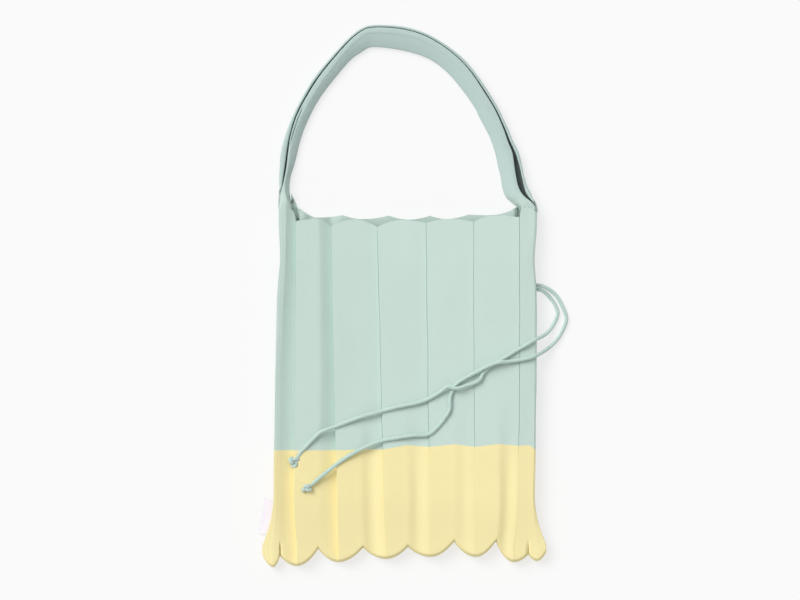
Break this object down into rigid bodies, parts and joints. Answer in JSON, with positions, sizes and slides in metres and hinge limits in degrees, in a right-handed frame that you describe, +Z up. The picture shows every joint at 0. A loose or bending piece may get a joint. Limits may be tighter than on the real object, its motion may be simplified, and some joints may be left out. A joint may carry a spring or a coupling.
{
  "type": "pleated knit bag",
  "caption": "Soft knitted tote bag lying flat: deep vertical pleats, a two-coloured body with a scalloped hem, one folded shoulder strap, knotted tie cords and a blank side label.",
  "frame": {"origin": "bottom centre of the bag's bounding box, on the surface it lies on", "axes": "+X to the right across the front, +Y along the bag from hem to handle, +Z up out of the front"},
  "size_m": [0.3122, 0.5435, 0.0289],
  "materials": {
    "mint_knit": "matt fine rib knit, pale mint",
    "yellow_knit": "matt fine rib knit, pale yellow",
    "cord_knit": "matt tubular knitted cord, mint",
    "label_tape": "smooth white woven tape, blank"
  },
  "bodies": {
    "root": {"body_upper": "mint_knit", "body_base": "yellow_knit", "strap": "mint_knit", "tie_cord_upper": "cord_knit", "tie_cord_lower": "cord_knit", "tie_knot_upper": "cord_knit", "tie_knot_lower": "cord_knit", "side_label": "label_tape"}
  },
  "joints": []
}
